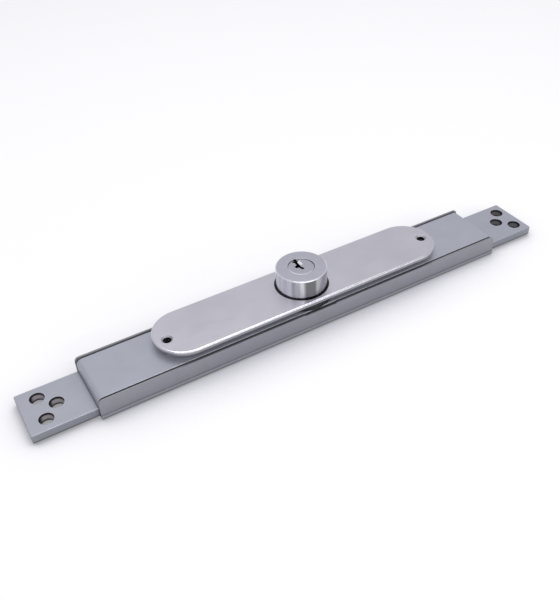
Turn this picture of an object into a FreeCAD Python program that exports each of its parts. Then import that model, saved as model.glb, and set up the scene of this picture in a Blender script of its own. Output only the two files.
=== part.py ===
import FreeCAD, Part
import math
import os

# Roller shutter lock: a long folded steel case with a bolt sliding out of each end.
# A lock cylinder in the middle turns a pinion between the two bolts' racks.
# Millimetres. X runs along the lock, Z points from the back to the keyway's face,
# and the origin is the middle of the tray's underside.

V = FreeCAD.Vector

# Case
CASE_LENGTH = 236.2
CASE_SIDE_MARGIN = 3.35
WALL_HEIGHT = 12.6
NEAR_WALL_DROP = 0.7
WALL_THICKNESS = 1.0
FLOOR_THICKNESS = 1.0
TRAY_INNER_BEND = 1.0
FOOT_WIDTH = 0.5
FOOT_HEIGHT = 3.2
FOOT_EDGE_RADIUS = 1.5
WALL_CORNER_RADIUS = 2.4
NOTCH_LENGTH = 19.0
NOTCH_DEPTH = 0.5
NOTCH_CENTRE_X = 1.5
NOTCH_CORNER_RADIUS = 0.3

# Lid, which drops between the case's walls
LID_SHEET = 1.0
LID_DROP = 0.5
LID_NEAR_GAP = 0.85
LID_FAR_GAP = 0.5
LID_END_INSET = 0.2
LID_OUTER_BEND = 3.0
LID_EDGE_RADIUS = 0.4

# Gear: a pinion on the plug between the racks of the two bolts
GEAR_MODULE = 1.0
PINION_TEETH = 12
PRESSURE_ANGLE = 25.0
TOOTH_BACKLASH = 0.08
DEDENDUM_FACTOR = 1.25
PLUG_TURN = 180.0
RACK_SPARE_TEETH = 2
RACK_TIP_MARGIN = 0.4
PINION_SIDE_GAP = 0.1
HUB_ROOT_STEP = 0.25
WASHER_ROOT_STEP = 0.35
WASHER_THICKNESS = 0.3
WASHER_BORE_CLEARANCE = 0.1
AXIAL_PLAY = 0.05

# Bolts
BOLT_SIDE_GAP = 1.2
BOLT_THICKNESS = 4.8
BOLT_PROTRUSION = 31.5
BOLT_EDGE_RADIUS = 0.4
BOLT_END_RADIUS = 0.8
BOLT_FLOOR_GAP = 0.05
BOLT_LID_GAP = 0.25
ARM_END_GAP = 1.5
BOLT_HOLE_DIAMETER = 6.6
BOLT_HOLE_CHAMFER = 0.3
BOLT_HOLE_SPREAD = 14.7
BOLT_HOLE_STAGGER = 7.1
LEFT_HOLE_INSET = 9.2
RIGHT_HOLE_INSET = 6.4

# Guide posts in the bolts' slots, riveted into the tray
POST_DIAMETER = 7.0
POST_SLOT_CLEARANCE = 0.1
SLOT_END_CLEARANCE = 0.3
SLOT_SHOULDER_WEB = 6.0
SLOT_CASE_MARGIN = 1.85
RIVET_DIAMETER = 4.0
RIVET_HEAD_DIAMETER = 6.0
RIVET_HEAD_HEIGHT = 0.8

# Screws that hold the lid to the inner posts
SCREW_HEAD_DIAMETER = 7.0
SCREW_HEAD_HEIGHT = 0.9
SCREW_HOLE_DIAMETER = 4.3
SCREW_CORE_DIAMETER = 3.2
SCREW_LENGTH = 7.0
TAPPED_DIAMETER = 3.3
TAPPED_RUNOUT = 2.0
DRIVE_SLOT_WIDTH = 0.9
DRIVE_SLOT_DEPTH = 0.6

# Cover plate and its two threaded studs
PLATE_HOLE_OFFSET = 2.06
PLATE_RIM_WIDTH = 2.2
PLATE_THICKNESS = 2.1
PLATE_STANDOFF = 4.3
PLATE_EDGE_RADIUS = 1.0
PLATE_BORE_GAP = 1.0
PLATE_HOLE_DIAMETER = 4.2
PLATE_HOLE_COUNTERSINK = 5.8
PLATE_HOLE_INSET = 6.35
PLATE_HOLE_Y = -1.7
STUD_DIAMETER = 7.0
STUD_NECK_DIAMETER = 5.0
STUD_FOOT_DIAMETER = 6.6
STUD_FOOT_HEIGHT = 0.6

# Black collar that centres the plate round the cylinder
COLLAR_CLEARANCE = 0.1
COLLAR_FLANGE_WIDTH = 1.95
COLLAR_NECK_RISE = 0.9
COLLAR_PLATE_CLEARANCE = 0.1

# Lock cylinder: cap, core and the core's flange under the lid
CAP_DIAMETER = 26.5
CAP_WALL = 1.2
CAP_TOP_THICKNESS = 2.0
CAP_RISE = 10.9
CAP_BEVEL = 0.5
CORE_CAP_FIT = 0.05
LID_BORE_CLEARANCE = 0.2
FLANGE_SIDE_GAP = 2.1
FLANGE_THICKNESS = 2.0
FLANGE_END_MARGIN = 5.2
FLANGE_CORNER_RADIUS = 6.0
FLANGE_RIVET_GAP = 0.6
FLANGE_RIVET_FOOT_DIAMETER = 5.6
FLANGE_RIVET_FOOT_HEIGHT = 1.0
CORE_HUB_HEIGHT = 1.3
CORE_HUB_MARGIN = 1.1

# Plug
PLUG_HEAD_DIAMETER = 13.2
PLUG_HEAD_GROOVE = 0.3
PLUG_HEAD_CHAMFER = 0.3
PLUG_RECESS = 0.2
PLUG_DIAMETER = 12.0
PLUG_BORE_CLEARANCE = 0.04
PLUG_BOLT_GAP = 0.45
TAIL_DIAMETER = 7.0
TAIL_ACROSS_FLATS = 5.4
TAIL_FIT = 0.05
JOURNAL_DIAMETER = 5.0
JOURNAL_CLEARANCE = 0.05
JOURNAL_END_GAP = 0.1
KEYWAY_DEPTH = 20.2
KEYWAY_MOUTH_MARGIN = 0.8
GUIDE_FACET_WIDTH = 1.1
GUIDE_FACET_DEPTH = 0.9
GUIDE_FACET_START_Y = 1.3
GUIDE_FACET_END_Y = 5.3

# Retaining clip in the plug's groove
CLIP_OVERLAP = 2.2
CLIP_GROOVE_DEPTH = 1.0
CLIP_THICKNESS = 0.6
CLIP_GAP = 0.05
CLIP_FIT = 0.05
CLIP_MOUTH_WIDTH = 6.0

# Pins and springs, numbered from the plug's face inwards
PIN_DIAMETER = 2.3
PIN_CHAMBER_CLEARANCE = 0.05
PIN_PITCH = 2.9
FIRST_PIN_DEPTH = 2.15
KEY_PIN_LENGTHS = (4.6, 5.3, 4.3, 5.0, 5.6)
KEY_PIN_POINT = 0.7
PIN_TIP_DIAMETER = 1.0
DRIVER_PIN_SHARE = 0.496
SHEAR_GAP = 0.03
SPRING_WIRE_DIAMETER = 0.35
SPRING_DIAMETER = 1.9
SPRING_TURNS = 4
CHAMBER_END_CLEARANCE = 0.1

# How far a cutting tool reaches past a face, and how edges are picked
CUT_MARGIN = 1.0
PARALLEL_COSINE = 0.999
LEVEL_TOLERANCE = 0.01

# Levels along Z that follow, from the floor up
FLOOR_TOP = FLOOR_THICKNESS
BOLT_BOTTOM = FLOOR_TOP + BOLT_FLOOR_GAP
BOLT_TOP = BOLT_BOTTOM + BOLT_THICKNESS
NEAR_WALL_HEIGHT = WALL_HEIGHT - NEAR_WALL_DROP
LID_TOP = WALL_HEIGHT - LID_DROP
LID_UNDERSIDE = LID_TOP - LID_SHEET
PLATE_UNDERSIDE = LID_TOP + PLATE_STANDOFF
PLATE_TOP = PLATE_UNDERSIDE + PLATE_THICKNESS
CAP_TOP = PLATE_TOP + CAP_RISE
CORE_TOP = CAP_TOP - CAP_TOP_THICKNESS - AXIAL_PLAY
FLANGE_BOTTOM = LID_UNDERSIDE - FLANGE_THICKNESS
CORE_HUB_BOTTOM = FLANGE_BOTTOM - CORE_HUB_HEIGHT
PLUG_FACE = CAP_TOP - PLUG_RECESS
PLUG_HEAD_BOTTOM = CORE_TOP + AXIAL_PLAY
PLUG_LAND_BOTTOM = BOLT_TOP + PLUG_BOLT_GAP
KEYWAY_BOTTOM = PLUG_FACE - KEYWAY_DEPTH
CLIP_TOP = CORE_HUB_BOTTOM - CLIP_GAP
CLIP_BOTTOM = CLIP_TOP - CLIP_THICKNESS
PINION_BOTTOM = FLOOR_TOP + WASHER_THICKNESS + AXIAL_PLAY
PINION_TOP = BOLT_TOP - PINION_SIDE_GAP
FIRST_PIN_Z = CORE_TOP - FIRST_PIN_DEPTH

# Gear sizes that follow
PITCH_RADIUS = GEAR_MODULE * PINION_TEETH / 2
TIP_RADIUS = PITCH_RADIUS + GEAR_MODULE
ROOT_RADIUS = PITCH_RADIUS - DEDENDUM_FACTOR * GEAR_MODULE
BASE_RADIUS = PITCH_RADIUS * math.cos(math.radians(PRESSURE_ANGLE))
TOOTH_PITCH = math.pi * GEAR_MODULE
TOOTH_THICKNESS = TOOTH_PITCH / 2 - TOOTH_BACKLASH
RACK_ROOT_Y = PITCH_RADIUS + DEDENDUM_FACTOR * GEAR_MODULE
RACK_TIP_Y = PITCH_RADIUS - GEAR_MODULE
BOLT_TRAVEL = PITCH_RADIUS * math.radians(PLUG_TURN)
RACK_TEETH_AHEAD = round(BOLT_TRAVEL / TOOTH_PITCH) + RACK_SPARE_TEETH
RACK_END_X = RACK_TEETH_AHEAD * TOOTH_PITCH + RACK_TIP_MARGIN

# Plan sizes that follow
CASE_END_X = CASE_LENGTH / 2
CASE_WIDTH = CAP_DIAMETER + 2 * CASE_SIDE_MARGIN
INNER_WIDTH = CASE_WIDTH - 2 * WALL_THICKNESS
LID_NEAR_Y = LID_NEAR_GAP - INNER_WIDTH / 2
LID_FAR_Y = INNER_WIDTH / 2 - LID_FAR_GAP
BOLT_WIDTH = INNER_WIDTH - 2 * BOLT_SIDE_GAP
BOLT_REACH = CASE_END_X + BOLT_PROTRUSION
BOLT_SHOULDER_X = RACK_END_X + ARM_END_GAP
SLOT_WIDTH = POST_DIAMETER + 2 * POST_SLOT_CLEARANCE
SLOT_REACH = SLOT_WIDTH / 2 + SLOT_END_CLEARANCE
INNER_POST_X = BOLT_SHOULDER_X + SLOT_SHOULDER_WEB + BOLT_TRAVEL + SLOT_REACH
OUTER_POST_X = CASE_END_X - SLOT_CASE_MARGIN - BOLT_TRAVEL - SLOT_REACH
PLATE_HOLE_X = (INNER_POST_X + OUTER_POST_X) / 2 + PLATE_HOLE_OFFSET
PLATE_LENGTH = 2 * (PLATE_HOLE_X + PLATE_HOLE_INSET)
PLATE_BORE_DIAMETER = CAP_DIAMETER + 2 * PLATE_BORE_GAP
PLATE_WIDTH = PLATE_BORE_DIAMETER + 2 * PLATE_RIM_WIDTH
FLANGE_WIDTH = INNER_WIDTH - 2 * FLANGE_SIDE_GAP
COLLAR_FLANGE_RADIUS = CAP_DIAMETER / 2 + COLLAR_FLANGE_WIDTH
FLANGE_RIVET_X = COLLAR_FLANGE_RADIUS + FLANGE_RIVET_GAP + RIVET_HEAD_DIAMETER / 2
FLANGE_END_X = FLANGE_RIVET_X + FLANGE_END_MARGIN
CORE_RADIUS = CAP_DIAMETER / 2 - CAP_WALL - CORE_CAP_FIT
PLUG_RADIUS = PLUG_DIAMETER / 2
CLIP_OUTER_DIAMETER = PLUG_DIAMETER + 2 * CLIP_OVERLAP
CLIP_GROOVE_DIAMETER = PLUG_DIAMETER - 2 * CLIP_GROOVE_DEPTH
CORE_HUB_DIAMETER = CLIP_OUTER_DIAMETER + 2 * CORE_HUB_MARGIN
PINION_HUB_DIAMETER = 2 * (ROOT_RADIUS - HUB_ROOT_STEP)
WASHER_DIAMETER = 2 * (ROOT_RADIUS - WASHER_ROOT_STEP)

# Distances from the plug's axis along -Y that follow
CHAMBER_RADIUS = PIN_DIAMETER / 2 + PIN_CHAMBER_CLEARANCE
KEY_PIN_SEAT = math.sqrt(PLUG_RADIUS ** 2 - (PIN_DIAMETER / 2) ** 2) - SHEAR_GAP
DRIVER_PIN_SEAT = PLUG_RADIUS + SHEAR_GAP
DRIVER_PIN_LENGTH = DRIVER_PIN_SHARE * (CAP_DIAMETER / 2 - CAP_WALL - PLUG_RADIUS)
SPRING_SEAT = DRIVER_PIN_SEAT + DRIVER_PIN_LENGTH

# Keyway outline seen from outside, open through the plug's side towards +Y
KEYWAY_MOUTH_Y = PLUG_HEAD_DIAMETER / 2 + KEYWAY_MOUTH_MARGIN
KEYWAY_OUTLINE = (
    (-0.35, -2.60), (0.55, -2.30), (0.55, -1.30), (-0.10, 0.10), (-0.10, 0.90), (0.75, 1.90),
    (0.75, KEYWAY_MOUTH_Y), (-0.70, KEYWAY_MOUTH_Y), (-0.70, 6.00), (-2.00, 5.70), (-2.00, 4.90),
    (-1.35, 4.30), (-1.35, 2.30), (-3.10, 1.50), (-2.70, 0.00), (-1.35, -0.05), (-1.00, -1.70),
)


def block(x0, x1, y0, y1, z0, z1):
    return Part.makeBox(x1 - x0, y1 - y0, z1 - z0, V(x0, y0, z0))


def rod(diameter, z0, z1, x=0.0, y=0.0):
    return Part.makeCylinder(diameter / 2, z1 - z0, V(x, y, z0))


def cone(lower_diameter, upper_diameter, z0, z1, x=0.0, y=0.0):
    return Part.makeCone(lower_diameter / 2, upper_diameter / 2, z1 - z0, V(x, y, z0))


def fuse(shapes):
    return shapes[0].multiFuse(shapes[1:]).removeSplitter()


def cut(shape, tools):
    return shape.cut(tools)


def closed_face(points):
    corners = [V(*point) for point in points]
    return Part.Face(Part.makePolygon(corners + corners[:1]))


def flat_prism(outline, z0, z1):
    face = closed_face([(x, y, z0) for x, y in outline])
    return face.extrude(V(0, 0, z1 - z0))


def turned(profile):
    """Solid of revolution about Z from radius and height pairs."""
    face = closed_face([(radius, 0, z) for radius, z in profile])
    return face.revolve(V(0, 0, 0), V(0, 0, 1), 360)


def long_slot(x0, x1, width, z0, z1):
    """Round-ended slot along X between two end centres."""
    radius = width / 2
    bar = block(x0, x1, -radius, radius, z0, z1)
    return fuse([bar, rod(width, z0, z1, x0), rod(width, z0, z1, x1)])


def fillet_where(shape, radius, test):
    edges = [edge for edge in shape.Edges if test(edge)]
    return shape.makeFillet(radius, edges) if edges else shape


def runs_along(edge, axis):
    if not isinstance(edge.Curve, Part.Line):
        return False
    return abs(edge.Curve.Direction.dot(axis)) > PARALLEL_COSINE


def middle(edge):
    return edge.valueAt((edge.FirstParameter + edge.LastParameter) / 2)


def both_ends(x):
    return (-x, x)


def wall_notches():
    """Shallow round-cornered gap in the top of each side wall."""
    x0 = NOTCH_CENTRE_X - NOTCH_LENGTH / 2
    x1 = NOTCH_CENTRE_X + NOTCH_LENGTH / 2
    notches = []
    for y0, y1, wall_top in (
            (-CASE_WIDTH, 0, NEAR_WALL_HEIGHT),
            (0, CASE_WIDTH, WALL_HEIGHT)):
        notch = block(x0, x1, y0, y1, wall_top - NOTCH_DEPTH, wall_top + CUT_MARGIN)
        notches.append(fillet_where(
            notch, NOTCH_CORNER_RADIUS,
            lambda e: runs_along(e, V(0, 1, 0)) and middle(e).z < wall_top))
    return notches


def post_positions():
    return [(x, 0.0) for distance in (INNER_POST_X, OUTER_POST_X) for x in both_ends(distance)]


def tray_section():
    """Floor and walls with a rounded foot bead outside along each wall."""
    half = CASE_WIDTH / 2
    bead_reach = half + FOOT_WIDTH
    along = V(1, 0, 0)
    walls = block(-CASE_END_X, CASE_END_X, -half, half, FOOT_HEIGHT / 2, WALL_HEIGHT)
    low_side = block(
        -CASE_LENGTH, CASE_LENGTH, -CASE_WIDTH, 0, NEAR_WALL_HEIGHT, WALL_HEIGHT + CUT_MARGIN)
    foot = block(-CASE_END_X, CASE_END_X, -bead_reach, bead_reach, 0, FOOT_HEIGHT)
    foot = fillet_where(foot, FOOT_EDGE_RADIUS, lambda e: runs_along(e, along))
    inner = block(
        -CASE_LENGTH, CASE_LENGTH, -INNER_WIDTH / 2, INNER_WIDTH / 2, FLOOR_TOP, 2 * WALL_HEIGHT)
    inner = fillet_where(
        inner, TRAY_INNER_BEND, lambda e: runs_along(e, along) and middle(e).z < WALL_HEIGHT)
    return cut(fuse([walls, foot]), [low_side, inner])


def base_tray():
    tray = fillet_where(
        tray_section(), WALL_CORNER_RADIUS,
        lambda e: runs_along(e, V(0, 1, 0)) and middle(e).z > NEAR_WALL_HEIGHT - LEVEL_TOLERANCE)
    through_floor = (-CUT_MARGIN, FLOOR_TOP + CUT_MARGIN)
    tools = wall_notches() + [rod(JOURNAL_DIAMETER + 2 * JOURNAL_CLEARANCE, *through_floor)]
    for x, y in post_positions():
        tools.append(rod(RIVET_DIAMETER, *through_floor, x, y))
        tools.append(cone(RIVET_HEAD_DIAMETER, RIVET_DIAMETER, 0, RIVET_HEAD_HEIGHT, x, y))
    return cut(tray, tools)


def guide_post(x, tapped):
    """Shouldered post from the floor to the lid, riveted flush into the tray."""
    post = fuse([
        rod(POST_DIAMETER, FLOOR_TOP, LID_UNDERSIDE, x),
        rod(RIVET_DIAMETER, 0, FLOOR_TOP, x),
        cone(RIVET_HEAD_DIAMETER, RIVET_DIAMETER, 0, RIVET_HEAD_HEIGHT, x),
    ])
    if tapped:
        thread_end = LID_TOP - SCREW_LENGTH - TAPPED_RUNOUT
        post = post.cut(rod(TAPPED_DIAMETER, thread_end, LID_UNDERSIDE + CUT_MARGIN, x))
    return post


def lid_screw(x):
    """Countersunk screw, flush with the lid."""
    head_bottom = LID_TOP - SCREW_HEAD_HEIGHT
    screw = fuse([
        cone(SCREW_HOLE_DIAMETER, SCREW_HEAD_DIAMETER, head_bottom, LID_TOP, x),
        rod(SCREW_CORE_DIAMETER, LID_TOP - SCREW_LENGTH, head_bottom + DRIVE_SLOT_DEPTH / 2, x),
    ])
    half = DRIVE_SLOT_WIDTH / 2
    reach = SCREW_HEAD_DIAMETER / 4
    slot_bottom = LID_TOP - DRIVE_SLOT_DEPTH
    cross = [
        block(x - reach, x + reach, -half, half, slot_bottom, LID_TOP + CUT_MARGIN),
        block(x - half, x + half, -reach, reach, slot_bottom, LID_TOP + CUT_MARGIN),
    ]
    return cut(screw, cross)


def lid_holes():
    """Cylinder bore, countersunk screw and rivet holes and the studs' holes."""
    through = (LID_UNDERSIDE - CUT_MARGIN, LID_TOP + CUT_MARGIN)
    tools = [rod(2 * (CORE_RADIUS + LID_BORE_CLEARANCE), *through)]
    for x in both_ends(INNER_POST_X):
        tools.append(rod(SCREW_HOLE_DIAMETER, *through, x))
        tools.append(cone(
            SCREW_HOLE_DIAMETER, SCREW_HEAD_DIAMETER, LID_TOP - SCREW_HEAD_HEIGHT, LID_TOP, x))
    for x in both_ends(FLANGE_RIVET_X):
        tools.append(rod(RIVET_DIAMETER, *through, x))
        tools.append(cone(
            RIVET_DIAMETER, RIVET_HEAD_DIAMETER, LID_TOP - RIVET_HEAD_HEIGHT, LID_TOP, x))
    for x in both_ends(PLATE_HOLE_X):
        tools.append(rod(STUD_NECK_DIAMETER, *through, x, PLATE_HOLE_Y))
    return tools


def lid():
    """Sheet lid whose ends bend down to just above the bolts."""
    end_x = CASE_END_X - LID_END_INSET
    lip_bottom = BOLT_TOP + BOLT_LID_GAP
    across = V(0, 1, 0)
    outer = block(-end_x, end_x, LID_NEAR_Y, LID_FAR_Y, lip_bottom, LID_TOP)
    outer = fillet_where(
        outer, LID_OUTER_BEND, lambda e: runs_along(e, across) and middle(e).z > LID_UNDERSIDE)
    inner_end = end_x - LID_SHEET
    inner = block(-inner_end, inner_end, -CASE_WIDTH, CASE_WIDTH, 0, LID_UNDERSIDE)
    inner = fillet_where(
        inner, LID_OUTER_BEND - LID_SHEET,
        lambda e: runs_along(e, across) and middle(e).z > LID_UNDERSIDE / 2)
    sheet = outer.cut(inner)
    sheet = fillet_where(
        sheet, LID_EDGE_RADIUS,
        lambda e: runs_along(e, V(1, 0, 0)) and middle(e).z > LID_TOP - LID_SHEET / 2)
    return cut(sheet, lid_holes())


def stadium(length, width, z0, z1):
    return long_slot(-(length - width) / 2, (length - width) / 2, width, z0, z1)


def cover_plate():
    plate = stadium(PLATE_LENGTH, PLATE_WIDTH, PLATE_UNDERSIDE, PLATE_TOP)
    plate = fillet_where(plate, PLATE_EDGE_RADIUS, lambda e: middle(e).z > PLATE_TOP - LEVEL_TOLERANCE)
    through = (PLATE_UNDERSIDE - CUT_MARGIN, PLATE_TOP + CUT_MARGIN)
    tools = [rod(PLATE_BORE_DIAMETER, *through)]
    sink_depth = (PLATE_HOLE_COUNTERSINK - PLATE_HOLE_DIAMETER) / 2
    for x in both_ends(PLATE_HOLE_X):
        tools.append(rod(PLATE_HOLE_DIAMETER, *through, x, PLATE_HOLE_Y))
        tools.append(cone(
            PLATE_HOLE_DIAMETER, PLATE_HOLE_COUNTERSINK, PLATE_TOP - sink_depth, PLATE_TOP,
            x, PLATE_HOLE_Y))
    return cut(plate, tools)


def plate_stud(x):
    """Threaded spacer swaged into the lid, on which the cover plate is screwed down."""
    foot_top = LID_UNDERSIDE
    stud = fuse([
        rod(STUD_DIAMETER, LID_TOP, PLATE_UNDERSIDE, x, PLATE_HOLE_Y),
        rod(STUD_NECK_DIAMETER, LID_UNDERSIDE, LID_TOP, x, PLATE_HOLE_Y),
        rod(STUD_FOOT_DIAMETER, foot_top - STUD_FOOT_HEIGHT, foot_top, x, PLATE_HOLE_Y),
    ])
    bore_start = foot_top - STUD_FOOT_HEIGHT - CUT_MARGIN
    return stud.cut(
        rod(TAPPED_DIAMETER, bore_start, PLATE_UNDERSIDE + CUT_MARGIN, x, PLATE_HOLE_Y))


def collar():
    """Black ring between lid and plate, with a neck in the plate's bore."""
    inner = CAP_DIAMETER / 2 + COLLAR_CLEARANCE
    neck = PLATE_BORE_DIAMETER / 2 - COLLAR_PLATE_CLEARANCE
    top = PLATE_UNDERSIDE + COLLAR_NECK_RISE
    return turned([
        (inner, LID_TOP), (COLLAR_FLANGE_RADIUS, LID_TOP), (COLLAR_FLANGE_RADIUS, PLATE_UNDERSIDE),
        (neck, PLATE_UNDERSIDE), (neck, top), (inner, top),
    ])


def cylinder_cap():
    """Polished steel cap over the cylinder core, standing on the lid."""
    outer = CAP_DIAMETER / 2
    inner = outer - CAP_WALL
    mouth = PLUG_HEAD_DIAMETER / 2 + PLUG_HEAD_GROOVE
    ceiling = CAP_TOP - CAP_TOP_THICKNESS
    return turned([
        (inner, LID_TOP), (outer, LID_TOP), (outer, CAP_TOP - CAP_BEVEL),
        (outer - CAP_BEVEL, CAP_TOP), (mouth, CAP_TOP), (mouth, ceiling), (inner, ceiling),
    ])


def pin_levels():
    return [FIRST_PIN_Z - index * PIN_PITCH for index in range(len(KEY_PIN_LENGTHS))]


def radial_rod(radius, near, far, z):
    """Round bar along -Y from one distance to another at height z."""
    return Part.makeCylinder(radius, far - near, V(0, -near, z), V(0, -1, 0))


def cylinder_core():
    """Fixed part of the cylinder, with its flange under the lid and five pin chambers."""
    flange = block(
        -FLANGE_END_X, FLANGE_END_X, -FLANGE_WIDTH / 2, FLANGE_WIDTH / 2,
        FLANGE_BOTTOM, LID_UNDERSIDE)
    flange = fillet_where(flange, FLANGE_CORNER_RADIUS, lambda e: runs_along(e, V(0, 0, 1)))
    core = fuse([
        rod(2 * CORE_RADIUS, FLANGE_BOTTOM, CORE_TOP),
        rod(CORE_HUB_DIAMETER, CORE_HUB_BOTTOM, FLANGE_BOTTOM),
        flange,
    ])
    bore_diameter = PLUG_DIAMETER + 2 * PLUG_BORE_CLEARANCE
    tools = [rod(bore_diameter, CORE_HUB_BOTTOM - CUT_MARGIN, CORE_TOP + CUT_MARGIN)]
    for x in both_ends(FLANGE_RIVET_X):
        tools.append(rod(
            RIVET_DIAMETER, FLANGE_BOTTOM - CUT_MARGIN, LID_UNDERSIDE + CUT_MARGIN, x))
    for z in pin_levels():
        tools.append(radial_rod(CHAMBER_RADIUS, PLUG_RADIUS / 2, 2 * CORE_RADIUS, z))
    return cut(core, tools)


def flange_rivet(x):
    foot_bottom = FLANGE_BOTTOM - FLANGE_RIVET_FOOT_HEIGHT
    return fuse([
        rod(RIVET_DIAMETER, FLANGE_BOTTOM, LID_TOP, x),
        cone(RIVET_DIAMETER, RIVET_HEAD_DIAMETER, LID_TOP - RIVET_HEAD_HEIGHT, LID_TOP, x),
        rod(FLANGE_RIVET_FOOT_DIAMETER, foot_bottom, FLANGE_BOTTOM, x),
    ])


def flatted_rod(diameter, across_flats, z0, z1):
    """Round bar with two flats facing +X and -X."""
    half = across_flats / 2
    return rod(diameter, z0, z1).common(block(-half, half, -diameter, diameter, z0, z1))


def keyway():
    shaft = flat_prism(KEYWAY_OUTLINE, KEYWAY_BOTTOM, PLUG_FACE + CUT_MARGIN)
    edge_x = max(x for x, y in KEYWAY_OUTLINE)
    facet = closed_face([
        (edge_x - GUIDE_FACET_WIDTH, GUIDE_FACET_START_Y, PLUG_FACE),
        (edge_x + GUIDE_FACET_WIDTH, GUIDE_FACET_START_Y, PLUG_FACE),
        (edge_x - GUIDE_FACET_WIDTH, GUIDE_FACET_START_Y, PLUG_FACE - 2 * GUIDE_FACET_DEPTH),
    ])
    return [shaft, facet.extrude(V(0, GUIDE_FACET_END_Y - GUIDE_FACET_START_Y, 0))]


def plug():
    """Turning plug: head, pin body, clip groove, two-flat tail and end journal."""
    groove_bottom = CLIP_BOTTOM - CLIP_FIT
    groove_top = CLIP_TOP + CLIP_FIT
    head = rod(PLUG_HEAD_DIAMETER, PLUG_HEAD_BOTTOM, PLUG_FACE - PLUG_HEAD_CHAMFER)
    rim = cone(
        PLUG_HEAD_DIAMETER, PLUG_HEAD_DIAMETER - 2 * PLUG_HEAD_CHAMFER,
        PLUG_FACE - PLUG_HEAD_CHAMFER, PLUG_FACE)
    solid = fuse([
        head,
        rim,
        rod(PLUG_DIAMETER, groove_top, PLUG_HEAD_BOTTOM),
        rod(CLIP_GROOVE_DIAMETER, groove_bottom, groove_top),
        rod(PLUG_DIAMETER, PLUG_LAND_BOTTOM, groove_bottom),
        flatted_rod(TAIL_DIAMETER, TAIL_ACROSS_FLATS, PINION_BOTTOM, PLUG_LAND_BOTTOM),
        rod(JOURNAL_DIAMETER, JOURNAL_END_GAP, PINION_BOTTOM),
    ])
    near = KEY_PIN_SEAT - max(KEY_PIN_LENGTHS) - CHAMBER_END_CLEARANCE
    chambers = [radial_rod(CHAMBER_RADIUS, near, 2 * PLUG_RADIUS, z) for z in pin_levels()]
    return cut(solid, keyway() + chambers)


def key_pin(length, z):
    """Pin with a blunt conical point towards the keyway."""
    radius = PIN_DIAMETER / 2
    shank_end = KEY_PIN_SEAT - length + KEY_PIN_POINT
    shank = radial_rod(radius, shank_end, KEY_PIN_SEAT, z)
    point = Part.makeCone(
        radius, PIN_TIP_DIAMETER / 2, KEY_PIN_POINT, V(0, -shank_end, z), V(0, 1, 0))
    return fuse([shank, point])


def driver_pin(z):
    return radial_rod(PIN_DIAMETER / 2, DRIVER_PIN_SEAT, SPRING_SEAT, z)


def pin_spring(z):
    """Coil spring from the driver pin to the cap's wall."""
    wire = SPRING_WIRE_DIAMETER / 2
    coil_radius = (SPRING_DIAMETER - SPRING_WIRE_DIAMETER) / 2
    height = CAP_DIAMETER / 2 - CAP_WALL - SPRING_SEAT - SPRING_WIRE_DIAMETER - 2 * SHEAR_GAP
    helix = Part.makeHelix(height / SPRING_TURNS, height, coil_radius)
    section = Part.Wire([Part.Circle(V(coil_radius, 0, 0), V(0, 1, 0), wire).toShape()])
    coil = Part.Wire(helix.Edges).makePipeShell([section], True, True)
    coil.rotate(V(0, 0, 0), V(1, 0, 0), 90)
    coil.translate(V(0, -(SPRING_SEAT + wire + SHEAR_GAP), z))
    return coil


def plug_clip():
    """Spring clip in the plug's groove, open towards -X."""
    through = (CLIP_BOTTOM - CUT_MARGIN, CLIP_TOP + CUT_MARGIN)
    disc = rod(CLIP_OUTER_DIAMETER, CLIP_BOTTOM, CLIP_TOP)
    hole = rod(CLIP_GROOVE_DIAMETER + 2 * CLIP_FIT, *through)
    half = CLIP_MOUTH_WIDTH / 2
    mouth = block(-CLIP_OUTER_DIAMETER, 0, -half, half, *through)
    return cut(disc, [hole, mouth])


def thrust_washer():
    disc = rod(WASHER_DIAMETER, FLOOR_TOP, FLOOR_TOP + WASHER_THICKNESS)
    hole = rod(JOURNAL_DIAMETER + 2 * WASHER_BORE_CLEARANCE, 0, PINION_BOTTOM)
    return disc.cut(hole)


def involute_half_angle(radius):
    """Half of a pinion tooth's angle at a radius outside the base circle."""
    def involute(angle):
        return math.tan(angle) - angle
    at_pitch = TOOTH_THICKNESS / (2 * PITCH_RADIUS) + involute(math.radians(PRESSURE_ANGLE))
    return at_pitch - involute(math.acos(min(1.0, BASE_RADIUS / radius)))


def on_circle(radius, angle):
    return V(radius * math.cos(angle), radius * math.sin(angle), 0)


def pinion_tooth(centre):
    """Edges of one tooth from its right root to its left root, anticlockwise."""
    middle_radius = (BASE_RADIUS + TIP_RADIUS) / 2
    radii = (BASE_RADIUS, middle_radius, TIP_RADIUS)
    right = [on_circle(r, centre - involute_half_angle(r)) for r in radii]
    left = [on_circle(r, centre + involute_half_angle(r)) for r in reversed(radii)]
    foot = involute_half_angle(BASE_RADIUS)
    right_root = on_circle(ROOT_RADIUS, centre - foot)
    left_root = on_circle(ROOT_RADIUS, centre + foot)
    return [
        Part.LineSegment(right_root, right[0]).toShape(),
        Part.Arc(*right).toShape(),
        Part.Arc(right[-1], on_circle(TIP_RADIUS, centre), left[0]).toShape(),
        Part.Arc(*left).toShape(),
        Part.LineSegment(left[-1], left_root).toShape(),
    ]


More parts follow.
